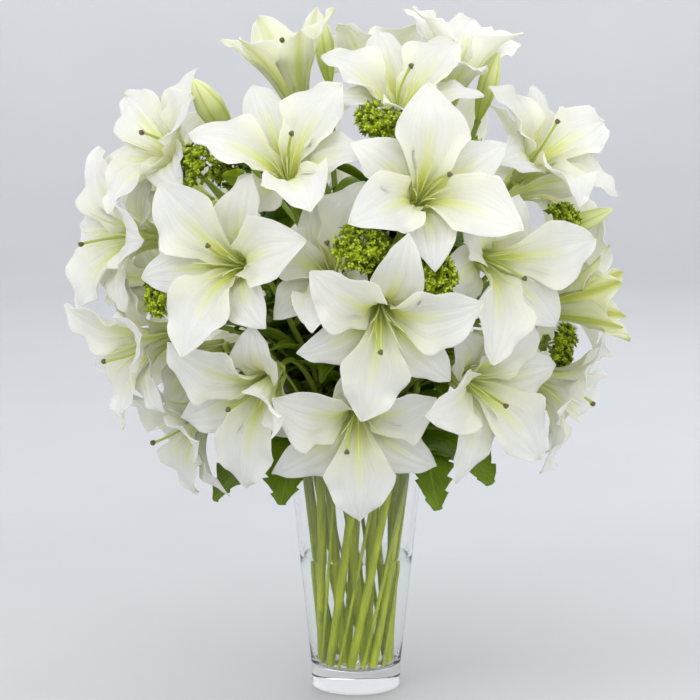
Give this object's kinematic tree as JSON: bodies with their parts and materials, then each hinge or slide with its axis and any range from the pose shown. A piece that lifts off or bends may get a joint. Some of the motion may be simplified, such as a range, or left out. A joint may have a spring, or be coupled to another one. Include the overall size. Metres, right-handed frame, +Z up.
{
  "type": "lilies in a vase",
  "caption": "Round bouquet of white lilies with buds, small green filler flowers and dark toothed leaves, standing in water in a tall, flared, clear glass vase.",
  "frame": {"origin": "centre of the vase's foot, on the surface that it stands on", "axes": "+Z up along the vase's axis; -Y towards the viewer of the picture, +X to that viewer's right"},
  "size_m": [0.4533, 0.4295, 0.5617],
  "materials": {
    "glass": "gloss",
    "water": "gloss",
    "stem": "satin",
    "petal": "satin",
    "filler": "matte",
    "leaf": "satin"
  },
  "bodies": {
    "root": {"vase": "glass", "water": "water", "lily_stem_a": "stem", "lily_stem_b": "stem", "lily_stem_c": "stem", "lily_stem_d": "stem", "lily_stem_e": "stem", "lily_stem_f": "stem", "lily_stem_g": "stem", "lily_stem_h": "stem", "lily_stem_i": "stem", "lily_stem_j": "stem", "lily_stem_k": "stem", "lily_stem_l": "stem", "lily_stem_m": "stem", "petals_back_centre": "petal", "petals_back_left_low": "petal", "petals_back_left_upper": "petal", "petals_back_low_left": "petal", "petals_back_low_right": "petal", "petals_back_right_low": "petal", "petals_back_right_upper": "petal", "petals_back_upper_left": "petal", "petals_back_upper_right": "petal", "petals_front_centre": "petal", "petals_front_inner": "petal", "petals_front_left": "petal", "petals_front_left_low": "petal", "petals_front_low": "petal", "petals_front_right": "petal", "petals_front_right_low": "petal", "petals_left_high": "petal", "petals_left_low": "petal", "petals_left_lower": "petal", "petals_left_middle": "petal", "petals_left_upper": "petal", "petals_right_half_open": "petal", "petals_right_high": "petal", "petals_right_low": "petal", "petals_right_upper": "petal", "petals_side_left": "petal", "petals_side_right": "petal", "petals_top_back": "petal", "petals_top_centre": "petal", "petals_top_left": "petal", "petals_top_right": "petal", "filler_spray_back_left": "filler", "filler_spray_back_right": "filler", "filler_spray_front_left": "filler", "filler_spray_front_right": "filler", "filler_spray_left": "filler", "filler_spray_right": "filler", "collar_leaves_back": "leaf", "collar_leaves_left": "leaf", "collar_leaves_right": "leaf"}
  },
  "joints": []
}
